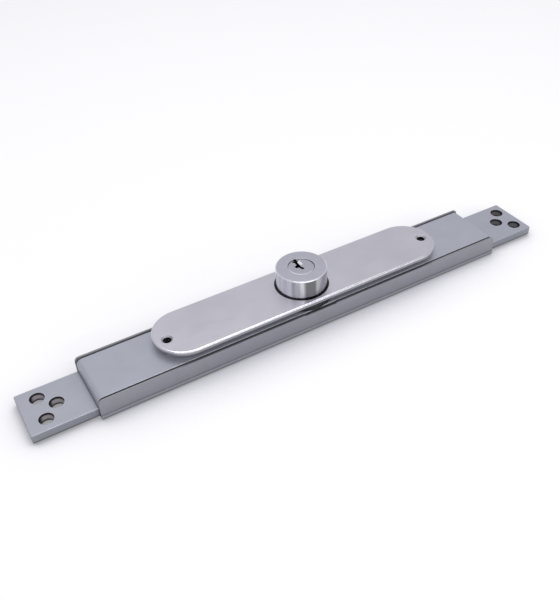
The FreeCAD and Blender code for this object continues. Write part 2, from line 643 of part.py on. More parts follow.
def drive_pinion():
    """Involute pinion with a raised hub and a two-flat bore."""
    step = 2 * math.pi / PINION_TEETH
    foot = involute_half_angle(BASE_RADIUS)
    edges = []
    for index in range(PINION_TEETH):
        centre = index * step
        edges += pinion_tooth(centre)
        start = on_circle(ROOT_RADIUS, centre + foot)
        valley = on_circle(ROOT_RADIUS, centre + step / 2)
        end = on_circle(ROOT_RADIUS, centre + step - foot)
        edges.append(Part.Arc(start, valley, end).toShape())
    gear = Part.Face(Part.Wire(edges)).extrude(V(0, 0, PINION_TOP - PINION_BOTTOM))
    gear.translate(V(0, 0, PINION_BOTTOM))
    hub = rod(PINION_HUB_DIAMETER, PINION_TOP, PLUG_LAND_BOTTOM - AXIAL_PLAY)
    bore = flatted_rod(
        TAIL_DIAMETER + 2 * TAIL_FIT, TAIL_ACROSS_FLATS + 2 * TAIL_FIT,
        PINION_BOTTOM - CUT_MARGIN, PLUG_LAND_BOTTOM + CUT_MARGIN)
    return fuse([gear, hub]).cut(bore)


def rack_outline():
    """Rack teeth pointing to -Y along the pitch line, a tooth space at X = 0."""
    slope = math.tan(math.radians(PRESSURE_ANGLE))
    root_half = TOOTH_THICKNESS / 2 + (RACK_ROOT_Y - PITCH_RADIUS) * slope
    tip_half = TOOTH_THICKNESS / 2 - (PITCH_RADIUS - RACK_TIP_Y) * slope
    points = []
    for index in range(-RACK_SPARE_TEETH, RACK_TEETH_AHEAD):
        centre = (index + 0.5) * TOOTH_PITCH
        points += [
            (centre - root_half, RACK_ROOT_Y), (centre - tip_half, RACK_TIP_Y),
            (centre + tip_half, RACK_TIP_Y), (centre + root_half, RACK_ROOT_Y),
        ]
    return points


def arm_pocket():
    """What is cut away beside the left bolt's rack arm."""
    far = BOLT_REACH
    outline = [(-BOLT_SHOULDER_X, -far), (-BOLT_SHOULDER_X, RACK_ROOT_Y)]
    outline += rack_outline()
    outline += [(RACK_END_X, RACK_ROOT_Y), (RACK_END_X, far), (far, far), (far, -far)]
    return flat_prism(outline, 0, WALL_HEIGHT)


def bolt_hole(x, y):
    """Through hole with a small chamfer at both faces."""
    wide = BOLT_HOLE_DIAMETER + 2 * BOLT_HOLE_CHAMFER
    return fuse([
        rod(BOLT_HOLE_DIAMETER, BOLT_BOTTOM, BOLT_TOP, x, y),
        cone(wide, BOLT_HOLE_DIAMETER, BOLT_BOTTOM, BOLT_BOTTOM + BOLT_HOLE_CHAMFER, x, y),
        cone(BOLT_HOLE_DIAMETER, wide, BOLT_TOP - BOLT_HOLE_CHAMFER, BOLT_TOP, x, y),
    ])


def left_facing_bolt(hole_inset):
    """Flat bolt that leaves the case towards -X, its rack arm on the +Y side."""
    half = BOLT_WIDTH / 2
    bar = block(-BOLT_REACH, RACK_END_X + CUT_MARGIN, -half, half, BOLT_BOTTOM, BOLT_TOP)
    bar = fillet_where(
        bar, BOLT_END_RADIUS, lambda e: runs_along(e, V(0, 0, 1)) and middle(e).x < 0)
    mid_height = (BOLT_BOTTOM + BOLT_TOP) / 2
    bar = fillet_where(
        bar, BOLT_EDGE_RADIUS,
        lambda e: abs(middle(e).z - mid_height) > BOLT_EDGE_RADIUS and middle(e).x < RACK_END_X)
    outer_x = -BOLT_REACH + hole_inset
    holes = [bolt_hole(outer_x, y) for y in (-BOLT_HOLE_SPREAD / 2, BOLT_HOLE_SPREAD / 2)]
    holes.append(bolt_hole(outer_x + BOLT_HOLE_STAGGER, 0))
    slots = [
        long_slot(
            -post_x - SLOT_END_CLEARANCE, -post_x + BOLT_TRAVEL + SLOT_END_CLEARANCE,
            SLOT_WIDTH, 0, WALL_HEIGHT)
        for post_x in (INNER_POST_X, OUTER_POST_X)]
    return cut(bar, [arm_pocket()] + holes + slots)


def bolt_right():
    bolt = left_facing_bolt(RIGHT_HOLE_INSET)
    bolt.rotate(V(0, 0, 0), V(0, 0, 1), 180)
    return bolt


def named_pieces():
    """Every piece of the lock by its node name."""
    pieces = {
        "base_tray": base_tray(),
        "lid": lid(),
        "cover_plate": cover_plate(),
        "centring_collar": collar(),
        "cylinder_cap": cylinder_cap(),
        "cylinder_core": cylinder_core(),
        "plug": plug(),
        "plug_clip": plug_clip(),
        "drive_pinion": drive_pinion(),
        "thrust_washer": thrust_washer(),
        "bolt_left": left_facing_bolt(LEFT_HOLE_INSET),
        "bolt_right": bolt_right(),
    }
    for side, sign in (("left", -1), ("right", 1)):
        pieces["inner_post_" + side] = guide_post(sign * INNER_POST_X, True)
        pieces["outer_post_" + side] = guide_post(sign * OUTER_POST_X, False)
        pieces["lid_screw_" + side] = lid_screw(sign * INNER_POST_X)
        pieces["flange_rivet_" + side] = flange_rivet(sign * FLANGE_RIVET_X)
        pieces["plate_stud_" + side] = plate_stud(sign * PLATE_HOLE_X)
    for number, (length, z) in enumerate(zip(KEY_PIN_LENGTHS, pin_levels()), start=1):
        pieces["key_pin_%d" % number] = key_pin(length, z)
        pieces["driver_pin_%d" % number] = driver_pin(z)
        pieces["pin_spring_%d" % number] = pin_spring(z)
    return pieces


os.makedirs("parts", exist_ok=True)
for name, shape in named_pieces().items():
    shape.exportStep("parts/" + name + ".step")
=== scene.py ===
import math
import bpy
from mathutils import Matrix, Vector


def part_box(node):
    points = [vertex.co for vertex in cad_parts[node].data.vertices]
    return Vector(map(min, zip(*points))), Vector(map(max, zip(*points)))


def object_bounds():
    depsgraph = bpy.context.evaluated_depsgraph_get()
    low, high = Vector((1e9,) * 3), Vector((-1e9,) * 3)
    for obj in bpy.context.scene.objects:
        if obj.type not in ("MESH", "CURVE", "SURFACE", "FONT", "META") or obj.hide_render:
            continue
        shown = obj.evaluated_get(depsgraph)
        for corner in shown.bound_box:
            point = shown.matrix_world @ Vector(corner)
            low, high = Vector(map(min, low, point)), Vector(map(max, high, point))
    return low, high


bl_info = {
    "name": "Roller shutter lock",
    "version": (1, 0, 0),
    "blender": (4, 5, 0),
    "location": "View3D > Sidebar > Shutter lock",
    "description": "Dresses a steel lock case, its cover plate, cylinder and two sliding bolts",
    "category": "Object",
}

import bpy
from bpy.props import FloatProperty, FloatVectorProperty, PointerProperty
from mathutils import Matrix, Vector

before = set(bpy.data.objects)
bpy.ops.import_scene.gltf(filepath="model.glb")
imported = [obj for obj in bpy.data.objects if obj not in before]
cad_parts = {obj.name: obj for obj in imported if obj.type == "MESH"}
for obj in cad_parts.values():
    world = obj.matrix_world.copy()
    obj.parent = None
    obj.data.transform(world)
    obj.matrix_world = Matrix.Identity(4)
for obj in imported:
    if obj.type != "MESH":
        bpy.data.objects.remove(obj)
CAD_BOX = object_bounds()

MM = 0.001

# Places on the lock are in millimetres from its middle, and heights from its underside.

# Painted shade along the crease of the case's walls above the foot bead, and how far from the
# centre line the painted seam shade passes from the near side to the far side
CREASE_HEIGHT = 2.8
CREASE_HALF_WIDTH = 0.55
CUT_EDGE_DEPTH = 1.2
SIDE_BLEND = 6.0

# Painted shade in seams and inner corners: its strength, how much of it the far side loses, and the
# shade it paints
SEAM_WEIGHT = 0.95
FAR_SEAM_LOSS = 0.70
SEAM_SHADE = 0.04

# The bolts' holes: centres, walls, and the painted light and painted shadow on the walls. The
# painted lit part begins and ends over these distances above the underside and below the top
HOLE_RADIUS = 3.3
HOLE_CHAMFER = 0.3
HOLE_MARGIN = 0.02
HOLE_SPREAD = 7.35
LEFT_HOLES = ((-140.4, HOLE_SPREAD), (-140.4, -HOLE_SPREAD), (-133.3, 0.0))
RIGHT_HOLES = ((143.2, HOLE_SPREAD), (143.2, -HOLE_SPREAD), (136.1, 0.0))
HOLE_LIT_FROM = (0.6, 1.8)
HOLE_LIT_UP_TO = (1.6, 0.7)
HOLE_SHADOW = (0.015, 0.013, 0.015)
LEFT_HOLE_LIT_COLOUR = (0.66, 0.61, 0.62)
RIGHT_HOLE_LIT_COLOUR = (0.27, 0.26, 0.27)

# Direction of the faces that look to the near side and a little to the left
NEAR_LEFT = (-0.50, -0.86, 0.0)

# Straight scratches: waves per metre along them, across them and upwards
SCRATCH_WAVES = (45.0, 3200.0, 900.0)
SCRATCH_EDGE = 0.05

# Screw holes of the cover plate, and the strip of the lid beside its near edge that gets painted
# light
PLATE_HOLES = ((-76.7, -1.7), (76.7, -1.7))
PLATE_HOLE_RADIUS = 3.4
STRIP_MIDDLE = -13.6
STRIP_HALF_WIDTH = 1.3
STRIP_EDGE = 0.3
STRIP_REACH = 76.0
STRIP_FADE = 8.0

# Painted reflections as dark upright bands round the cap's side: angle and width in degrees, and
# weight
CAP_REFLECTION_BANDS = ((-103.0, 20.0, 0.95), (-132.0, 16.0, 0.60), (-68.0, 48.0, 0.60))

# Key guide on the plug's face, which gets a white painted highlight, and the depths between which
# the keyway is painted dark as shade
GUIDE_MIDDLE = (1.4, 3.2)
GUIDE_RADIUS = 3.0
GUIDE_HIGHLIGHT = (0.95, 0.95, 0.97)
KEYWAY_DARK = 1.7
KEYWAY_LIT = 1.2

# Painted shade on the floor beside the lock and under its edges, and the floor's own glow
NEAR_SHADE_REACH = 30.0
NEAR_SHADE = (0.40, 0.39, 0.48)
CONTACT_SHADE_REACH = 3.0
CONTACT_SHADE = (0.10, 0.10, 0.13)
FLOOR_GLOW = 0.28

# Lamps, all aimed at the lock: name, place and sides in metres, power in watts
LAMPS = (
    ("overhead_softbox", (0.05, 0.15, 1.1), (1.0, 0.7), 5.3),
    ("front_strip", (-0.22, -0.75, 0.90), (1.6, 0.14), 2.3),
    ("low_front", (0.38, -1.10, 0.42), (1.0, 0.25), 1.7))
LAMP_AIM = (0.0, 0.0, 0.0)

# Height in pixels of the frame that the focal length is given for, and the camera's
# sensor in millimetres
FRAME_HEIGHT = 600
SENSOR_WIDTH = 36.0

# Depth in metres of the finest marks in a surface
MARK_DEPTH = 0.05 * MM

# Places of the colour sockets on a Mix node
MIX_FIRST, MIX_SECOND, MIX_RESULT = 6, 7, 2

WHITE = (1.0, 1.0, 1.0, 1.0)


def colour_property(name, description, default):
    """Setting that holds a colour."""
    return FloatVectorProperty(
        name=name, description=description, default=default, subtype="COLOR", min=0.0, max=1.0)


def length_property(name, description, default):
    """Setting that holds a length in metres."""
    return FloatProperty(
        name=name, description=description, default=default, subtype="DISTANCE", unit="LENGTH",
        min=0.0, precision=5)


def factor_property(name, description, default):
    """Setting that holds a share from 0 to 1."""
    return FloatProperty(
        name=name, description=description, default=default, subtype="FACTOR", min=0.0, max=1.0)


class LockFinishes(bpy.types.PropertyGroup):
    """Colours and roughness of the lock's finishes"""

    case_colour: colour_property(
        "Case colour", "Zinc-plated sheet of the folded case", (0.30, 0.305, 0.335))
    edge_colour: colour_property(
        "Cut edge colour", "Bare cut tops of the case's walls", (0.27, 0.265, 0.265))
    lid_colour: colour_property(
        "Lid colour", "Zinc-plated sheet of the lid", (0.382, 0.396, 0.446))
    bolt_colour: colour_property(
        "Bolt colour", "Zinc-plated flat bar of the bolts", (0.408, 0.422, 0.469))
    plate_colour: colour_property(
        "Plate colour", "Brushed face of the cover plate", (0.67, 0.665, 0.71))
    cap_colour: colour_property(
        "Cap colour", "Turned top of the cylinder cap", (0.56, 0.56, 0.62))
    # Painted light: the cap's side is given a lighter colour than its top
    cap_side_colour: colour_property(
        "Cap side colour", "Polished side of the cylinder cap", (0.85, 0.85, 0.89))
    plug_colour: colour_property(
        "Plug colour", "Nickel-plated plug", (0.54, 0.54, 0.60))
    collar_colour: colour_property(
        "Collar colour", "Black ring round the foot of the cap", (0.012, 0.012, 0.014))
    brass_colour: colour_property(
        "Brass colour", "Brass of the cylinder core and the driver pins", (0.62, 0.44, 0.18))
    # Painted shade: the brass key pins are coloured near black, as they sit in the keyway's shade
    key_pin_shade_colour: colour_property(
        "Key pin colour", "Dark oiled brass of the key pins", (0.03, 0.024, 0.014))
    spring_colour: colour_property(
        "Spring colour", "Drawn spring steel", (0.32, 0.32, 0.34))
    gear_colour: colour_property(
        "Gear colour", "Oiled machined steel of the pinion", (0.26, 0.26, 0.27))
    fastener_colour: colour_property(
        "Fastener colour", "Plated screws, rivets, posts and studs", (0.46, 0.47, 0.50))
    washer_colour: colour_property(
        "Washer colour", "Natural nylon of the thrust washer", (0.72, 0.70, 0.64))
    satin_roughness: factor_property(
        "Satin roughness", "Roughness of the plated sheet and bar", 0.46)
    plate_roughness: factor_property(
        "Plate roughness", "Roughness of the brushed cover plate", 0.36)
    polish_roughness: factor_property(
        "Polish roughness", "Roughness of the polished cap", 0.24)


class LockStage(bpy.types.PropertyGroup):
    """Camera, floor and lamps"""

    target: FloatVectorProperty(
        name="Camera target", description="Point on the floor that the camera is aimed at",
        default=(-0.00018, 0.01207, 0.0), subtype="TRANSLATION", unit="LENGTH", precision=5)
    distance: length_property("Camera distance", "From the target to the camera", 0.41687)
    azimuth: FloatProperty(
        name="Camera azimuth", description="Angle round the lock, negative to the left",
        default=math.radians(-29.751), subtype="ANGLE", unit="ROTATION")
    elevation: FloatProperty(
        name="Camera elevation", description="Angle above the floor",
        default=math.radians(39.508), subtype="ANGLE", unit="ROTATION")
    roll: FloatProperty(
        name="Camera roll", description="Turn about the view's axis",
        default=math.radians(-2.027), subtype="ANGLE", unit="ROTATION")
    focal_pixels: FloatProperty(
        name="Focal length in pixels", description="Focal length over a frame 600 pixels high",
        default=766.403, min=1.0)
    shift_x: FloatProperty(
        name="Camera shift X", description="Sideways shift of the lens", default=-0.0170)
    shift_y: FloatProperty(
        name="Camera shift Y", description="Upward shift of the lens", default=-0.0030)
    floor_size: length_property("Floor size", "Side of the square floor", 8.0)
    floor_colour: colour_property("Floor colour", "Paint of the floor", (0.98, 0.98, 0.985))
    world_strength: FloatProperty(
        name="World strength", description="Light from all round", default=0.60, min=0.0)
    world_colour: colour_property(
        "World colour", "Tint of the light from all round", (0.94, 0.93, 1.0))


# Shader maths


class Socket:
    """A node's output. Arithmetic on it adds the Math node that works it out."""

    def __init__(self, shading, output):
        self.shading = shading
        self.output = output

    def maths(self, operation, *values):
        """Adds one Math node on sockets or plain numbers."""
        return self.shading.node("ShaderNodeMath", {"operation": operation}, values)

    def __add__(self, other):
        return self.maths("ADD", self, other)

    def __radd__(self, other):
        return self.maths("ADD", other, self)

    def __sub__(self, other):
        return self.maths("SUBTRACT", self, other)

    def __rsub__(self, other):
        return self.maths("SUBTRACT", other, self)

    def __mul__(self, other):
        return self.maths("MULTIPLY", self, other)

    def __rmul__(self, other):
        return self.maths("MULTIPLY", other, self)

    def __abs__(self):
        return self.maths("ABSOLUTE", self)

    def at_most(self, limit):
        return self.maths("MINIMUM", self, limit)


class Shading:
    """A node tree and the few calls that fill it."""

    def __init__(self, tree):
        self.tree = tree

    def node(self, kind, settings=None, values=None, output=0):
        """Adds a node: settings first, then socket values by order or by name."""
        made = self.tree.nodes.new(kind)
        for name, value in (settings or {}).items():
            setattr(made, name, value)
        pairs = values.items() if isinstance(values, dict) else enumerate(values or ())
        for key, value in pairs:
            self.feed(made.inputs[key], value)
        return Socket(self, made.outputs[output])

    def feed(self, target, value):
        """Links a socket to an input, or sets the input to a plain value."""
        if isinstance(value, Socket):
            self.tree.links.new(value.output, target)
        else:
            target.default_value = value

    def tint(self, base, factor, other):
        """Colour that goes from base to other as factor rises."""
        return self.node(
            "ShaderNodeMix", {"data_type": "RGBA"},
            {"Factor": factor, MIX_FIRST: as_rgba(base), MIX_SECOND: as_rgba(other)},
            output=MIX_RESULT)


class Finish(Shading):
    """One material, with masks and noises laid out in millimetres."""

    def __init__(self, name):
        self.material = bpy.data.materials.new(name)
        self.material.use_nodes = True
        super().__init__(self.material.node_tree)
        self.shader = self.tree.nodes["Principled BSDF"]

    def place(self, stretch=(1.0, 1.0, 1.0)):
        """Position on the piece in millimetres, scaled by stretch."""
        where = self.node("ShaderNodeTexCoord", output="Object")
        scale = tuple(factor / MM for factor in stretch)
        return self.node("ShaderNodeVectorMath", {"operation": "MULTIPLY"}, (where, scale))

    def noise(self, size, stretch=(1.0, 1.0, 1.0), detail=2.0, seed=0.0):
        """Noise of a feature size in millimetres, about 0 to 1."""
        return self.node(
            "ShaderNodeTexNoise", {"noise_dimensions": "4D"},
            {"Vector": self.place(stretch), "W": seed, "Scale": 1.0 / size, "Detail": detail})

    def between(self, value, low, high):
        """0 below low, 1 above high and smooth between them."""
        return self.node(
            "ShaderNodeMapRange", {"interpolation_type": "SMOOTHSTEP"},
            {"Value": value, "From Min": low, "From Max": high})

    def height(self):
        """Height above the lock's underside in millimetres."""
        where = self.node("ShaderNodeTexCoord", output="Object")
        return self.node("ShaderNodeSeparateXYZ", None, (where,), output="Z") * (1.0 / MM)

    def facing_up(self):
        """1 on faces that look up, 0 on upright faces, -1 on faces that look down."""
        normal = self.node("ShaderNodeNewGeometry", output="Normal")
        return self.node("ShaderNodeSeparateXYZ", None, (normal,), output="Z")

    def sloping(self, low=0.15, high=0.97):
        """1 on rounded or bevelled edges between an upright face and one that looks up."""
        up = self.facing_up()
        leaves_side = self.between(up, low, low + 0.2)
        reaches_top = self.between(up, high - 0.07, high)
        return leaves_side * (1.0 - reaches_top)

    def recess(self, reach, shut=0.35, clear=0.9):
        """1 in holes, seams and inner corners narrower than reach in millimetres."""
        openness = self.node(
            "ShaderNodeAmbientOcclusion", {"samples": 8}, {"Distance": reach * MM}, output="AO")
        return 1.0 - self.between(openness, shut, clear)

    def clouded(self, colour, clouds, dark, light):
        """Colour that drifts between a darker and a lighter shade of itself."""
        return self.tint(shade(colour, dark), clouds, shade(colour, light))

    def set(self, **values):
        """Feeds the shader's inputs, with _ for a space in their names."""
        for name, value in values.items():
            self.feed(self.shader.inputs[name.replace("_", " ")], value)


def as_rgba(colour):
    """Colour with full opacity, or a socket as it is."""
    return colour if isinstance(colour, Socket) else tuple(colour[:3]) + (1.0,)


def shade(colour, factor):
    """Colour made darker or lighter by a factor, up to white."""
    return tuple(min(1.0, channel * factor) for channel in colour[:3])


def rounded_edges(finish, radius, height, strength):
    """Normal with sharp edges softened over a radius in millimetres and marks on top."""
    soft = finish.node("ShaderNodeBevel", {"samples": 4}, {"Radius": radius * MM})
    return finish.node(
        "ShaderNodeBump", None,
        {"Strength": strength, "Distance": MARK_DEPTH, "Height": height, "Normal": soft})


def scratches(finish, seed, angle, threshold):
    """Thin straight marks at an angle to the lock's length, as a mask."""
    where = finish.node("ShaderNodeTexCoord", output="Object")
    turned = finish.node(
        "ShaderNodeVectorRotate", {"rotation_type": "Z_AXIS"}, {"Vector": where, "Angle": angle})
    stretched = finish.node(
        "ShaderNodeVectorMath", {"operation": "MULTIPLY"}, (turned, SCRATCH_WAVES))
    lines = finish.node(
        "ShaderNodeTexNoise", {"noise_dimensions": "4D"},
        {"Vector": stretched, "W": seed, "Scale": 1.0, "Detail": 1.0})
    return finish.between(lines, threshold, threshold + SCRATCH_EDGE)


def near_holes(finish, centres, radius):
    """1 within a radius in millimetres of any of the holes' centre lines."""
    inside = 0.0
    for x, y in centres:
        away = finish.node(
            "ShaderNodeVectorMath", {"operation": "DISTANCE"},
            (finish.place((1.0, 1.0, 0.0)), (x, y, 0.0)), output="Value")
        inside = inside + away.maths("LESS_THAN", away, radius)
    return inside


def hole_walls(finish, centres):
    """Walls and chamfers of the bolts' holes."""
    inside = near_holes(finish, centres, HOLE_RADIUS + HOLE_CHAMFER + HOLE_MARGIN)
    return inside * (1.0 - finish.between(finish.facing_up(), 0.75, 0.95))


def facing_front(finish, low, high):
    """1 on faces turned to the near side and a little to the left."""
    normal = finish.node("ShaderNodeNewGeometry", output="Normal")
    towards = finish.node(
        "ShaderNodeVectorMath", {"operation": "DOT_PRODUCT"}, (normal, NEAR_LEFT), output="Value")
    return finish.between(towards, low, high)


def hole_light(finish, low, high):
    """Painted light on a hole's far wall: its middle lighter than its rim, its foot and its flanks.
    """
    height = finish.height()
    above_foot = finish.between(height, *(low + up for up in HOLE_LIT_FROM))
    near_rim = finish.between(height, *(high - down for down in HOLE_LIT_UP_TO))
    return above_foot * (1.0 - near_rim) * facing_front(finish, 0.15, 0.7)


def far_side(finish):
    """0 on the lock's near side, 1 on its far side."""
    across = finish.node("ShaderNodeSeparateXYZ", None, (finish.place(),), output="Y")
    return finish.between(across, -SIDE_BLEND, SIDE_BLEND)


def seam_shade_mask(finish, reach, far_loss):
    """Where painted shade goes: seams narrower than reach in millimetres, fainter on the far side.
    """
    return finish.recess(reach) * (SEAM_WEIGHT - far_side(finish) * far_loss)


def lid_strip(finish):
    """Open strip of the lid between the plate's near edge and the case's near wall, where painted
    light goes.
    """
    where = finish.place()
    along = finish.node("ShaderNodeSeparateXYZ", None, (where,), output="X")
    across = finish.node("ShaderNodeSeparateXYZ", None, (where,), output="Y")
    beside = finish.between(
        abs(across - STRIP_MIDDLE), STRIP_HALF_WIDTH - STRIP_EDGE, STRIP_HALF_WIDTH)
    beyond = finish.between(abs(along), STRIP_REACH - STRIP_FADE, STRIP_REACH)
    return (1.0 - beside) * (1.0 - beyond)


def zinc_plate(name, colour, roughness, side_painted_shade, seed, metallic=0.55, holes=(), levels=(),
               hole_lit_colour=None, strip=False, far_loss=0.0):
    """Plated rolled steel: clouded and finely grained, with painted shade on its sides and in its
    seams.
    """
    finish = Finish(name)
    clouds = finish.noise(9.0, detail=3.0, seed=seed)
    grain = finish.noise(0.35, detail=2.0, seed=seed + 1)
    rolling = finish.noise(1.0, stretch=(0.03, 3.0, 3.0), seed=seed + 2)
    spots = finish.between(finish.noise(2.4, detail=4.0, seed=seed + 3), 0.66, 0.74)
    marks = scratches(finish, seed + 4, angle=math.radians(7), threshold=0.70)
    crossing = scratches(finish, seed + 5, angle=math.radians(-38), threshold=0.74)
    upright = 1.0 - finish.between(finish.facing_up(), 0.15, 0.6)
    base = finish.clouded(colour, clouds, dark=0.92, light=1.07)
    base = finish.tint(base, (rolling - 0.5) * 0.35 + 0.12, shade(colour, 1.15))
    base = finish.tint(base, spots * 0.18, shade(colour, 0.72))
    base = finish.tint(base, (marks + crossing) * 0.18, shade(colour, 1.35))
    # Painted shade: upright sides darker than the tops
    base = finish.tint(base, upright * 0.9, shade(colour, side_painted_shade))
    if strip:
        # Painted light: the lid lighter where the plate shades it, and lighter still on the open
        # strip beside the plate
        painted_light_beside_plate = finish.recess(9.0, shut=0.3, clear=1.0)
        base = finish.tint(base, painted_light_beside_plate * 0.7, shade(colour, 1.5))
        base = finish.tint(base, lid_strip(finish) * finish.facing_up(), shade(colour, 1.25))
    # Painted shade in seams and inner corners
    base = finish.tint(base, seam_shade_mask(finish, 1.6, far_loss), shade(colour, SEAM_SHADE))
    if holes:
        # Painted shade: the bolts darker along their lower edge, next to the floor
        foot = 1.0 - finish.between(finish.height(), levels[0] + 0.5, levels[0] + 1.2)
        base = finish.tint(base, foot * 0.9, shade(colour, 0.25))
        # Painted light and painted shadow on the walls of the bolts' holes
        wall = finish.tint(HOLE_SHADOW, hole_light(finish, *levels), hole_lit_colour)
        base = finish.tint(base, hole_walls(finish, holes), wall)
    rough = roughness - 0.06 + clouds * 0.10 + (grain - 0.5) * 0.10 - marks * 0.08
    height = grain * 0.6 + rolling * 0.5 - marks * 0.3
    finish.set(
        Base_Color=base, Metallic=metallic, Roughness=rough,
        Normal=rounded_edges(finish, 0.25, height, strength=0.25))
    return finish.material


def folded_case(name, colour, edge_colour, roughness, wall_height, seed):
    """Case sheet: clouded zinc, bare cut tops, and painted shade towards the bottom, along the
    crease above the foot bead, on faces that look down and in seams.
    """
    finish = Finish(name)
    clouds = finish.noise(7.0, detail=3.0, seed=seed)
    grain = finish.noise(0.3, detail=2.0, seed=seed + 1)
    drawn = finish.noise(1.2, stretch=(0.02, 2.0, 2.0), seed=seed + 2)
    marks = scratches(finish, seed + 4, angle=math.radians(12), threshold=0.72)
    height = finish.height()
    cut_edge = finish.between(height, wall_height - CUT_EDGE_DEPTH, wall_height - 0.1)
    cut_edge = cut_edge * finish.between(finish.facing_up(), 0.3, 0.8)
    low = 1.0 - finish.between(height, 0.5, wall_height)
    base = finish.clouded(colour, clouds, dark=0.90, light=1.10)
    base = finish.tint(base, (drawn - 0.5) * 0.4 + 0.1, shade(colour, 1.2))
    base = finish.tint(base, marks * 0.2, shade(colour, 1.4))
    crease = 1.0 - finish.between(abs(height - CREASE_HEIGHT), 0.15, CREASE_HALF_WIDTH)
    under = 1.0 - finish.between(finish.facing_up(), -0.5, 0.1)
    # Painted shade: the walls darker towards the bottom
    base = finish.tint(base, low * 0.25, shade(colour, 0.75))
    base = finish.tint(base, cut_edge, edge_colour)
    # Painted shade: a dark line along the crease, and darker faces that look down
    base = finish.tint(base, crease * 0.6, shade(colour, 0.35))
    base = finish.tint(base, under * 0.5, shade(colour, 0.45))
    # Painted shade in seams and inner corners
    base = finish.tint(base, seam_shade_mask(finish, 1.8, FAR_SEAM_LOSS), shade(colour, SEAM_SHADE))
    rough = roughness - 0.05 + clouds * 0.10 + (grain - 0.5) * 0.10
    finish.set(
        Base_Color=base, Metallic=0.55, Roughness=rough,
        Normal=rounded_edges(finish, 0.15, grain * 0.6 + drawn * 0.5, strength=0.25))
    return finish.material


def brushed_plate(name, colour, roughness):
    """Satin cover plate: fine grain along its length, smoother rim with a painted highlight,
    painted shade on its sides, in recesses and in its screw holes.
    """
    finish = Finish(name)
    grain = finish.noise(0.22, stretch=(0.018, 1.0, 1.0), detail=2.0, seed=3.0)
    wide_grain = finish.noise(0.9, stretch=(0.02, 1.0, 1.0), detail=1.0, seed=5.0)
    clouds = finish.noise(14.0, detail=2.0, seed=7.0)
    marks = scratches(finish, 11.0, angle=math.radians(22), threshold=0.73)
    upright = 1.0 - finish.between(finish.facing_up(), 0.0, 0.55)
    base = finish.clouded(colour, clouds, dark=0.93, light=1.05)
    base = finish.tint(base, grain * 0.30, shade(colour, 1.18))
    base = finish.tint(base, marks * 0.20, shade(colour, 1.3))
    # Painted shade: upright sides darker, and darker still in recesses
    base = finish.tint(base, upright * 0.9, shade(colour, 0.48))
    base = finish.tint(base, finish.recess(1.0, shut=0.25) * 0.7, shade(colour, 0.12))
    rim = finish.sloping(0.45, 0.99)
    sunk = near_holes(finish, PLATE_HOLES, PLATE_HOLE_RADIUS)
    # Painted highlight along the rim; painted shade on the screw holes' countersinks and in their
    # bores
    base = finish.tint(base, rim * (1.0 - sunk), shade(colour, 1.1))
    base = finish.tint(base, rim * sunk, shade(colour, 0.70))
    bore = sunk * (1.0 - finish.between(finish.facing_up(), 0.2, 0.4))
    base = finish.tint(base, bore, shade(colour, 0.05))
    rough = (
        roughness + (grain - 0.5) * 0.16 + (clouds - 0.5) * 0.06 + upright * 0.22
        - rim * 0.12 + rim * sunk * 0.35)
    height = grain + wide_grain * 0.5
    finish.set(
        Base_Color=base, Metallic=0.95, Roughness=rough,
        Normal=rounded_edges(finish, 0.2, height, strength=0.18))
    return finish.material


def axis_distance(finish):
    """Distance from the cylinder's axis in millimetres."""
    flat = finish.place((1.0, 1.0, 0.0))
    return finish.node(
        "ShaderNodeVectorMath", {"operation": "LENGTH"}, (flat,), output="Value")


def turned_rings(finish, seed):
    """Fine turning marks: rings across the flat face and hoops round the side."""
    radius = axis_distance(finish)
    rings = finish.node(
        "ShaderNodeTexNoise", {"noise_dimensions": "1D"}, {"W": radius * 5.0 + seed, "Detail": 2.0})
    hoops = finish.node(
        "ShaderNodeTexNoise", {"noise_dimensions": "4D"},
        {"Vector": finish.place((0.05, 0.05, 6.0)), "W": seed, "Scale": 1.0, "Detail": 2.0})
    on_face = finish.between(finish.facing_up(), 0.9, 0.98)
    return on_face, on_face * rings, (1.0 - on_face) * hoops


def round_band(finish, where, width):
    """Soft upright band of painted reflection round the cap, centred at an angle in degrees."""
    flat = finish.node("ShaderNodeTexCoord", output="Object")
    x = finish.node("ShaderNodeSeparateXYZ", None, (flat,), output="X")
    y = finish.node("ShaderNodeSeparateXYZ", None, (flat,), output="Y")
    turn = x.maths("ARCTAN2", y, x) - math.radians(where)
    return 1.0 - finish.between(abs(turn), math.radians(width * 0.3), math.radians(width))


def polished_cap(name, colour, side_colour, side_roughness, face_roughness, seed):
    """Turned cap: satin top, polished side painted lighter than the top with painted reflections in
    soft upright bands and streaks, and a painted highlight on the turned rim.
    """
    finish = Finish(name)
    on_face, rings, hoops = turned_rings(finish, seed)
    clouds = finish.noise(3.0, detail=3.0, seed=seed + 2)
    reflection_streaks = finish.noise(1.4, stretch=(1.0, 1.0, 0.04), detail=2.0, seed=seed + 3)
    bands = sum(
        round_band(finish, where, width) * weight for where, width, weight in CAP_REFLECTION_BANDS)
    base = finish.clouded(colour, clouds, dark=0.92, light=1.06)
    base = finish.tint(base, rings * 0.3, shade(colour, 1.15))
    # Painted reflections on the side: soft upright streaks and dark bands
    side = finish.clouded(
        side_colour, finish.between(reflection_streaks, 0.35, 0.65), dark=0.88, light=1.12)
    side = finish.tint(side, bands.at_most(1.0), shade(side_colour, 0.20))
    # The side takes the lighter side colour as painted light
    upright = 1.0 - finish.between(finish.facing_up(), 0.1, 0.35)
    base = finish.tint(base, upright, side)
    # Painted highlight on the turned rim
    rim = finish.sloping(0.15, 0.95)
    base = finish.tint(base, rim, side_colour)
    rough = side_roughness + (clouds - 0.5) * 0.05 + on_face * (face_roughness - side_roughness)
    rough = rough + rim * 0.14
    finish.set(
        Base_Color=base, Metallic=1.0, Roughness=rough,
        Normal=rounded_edges(finish, 0.12, rings + hoops * 0.25, strength=0.12))
    return finish.material


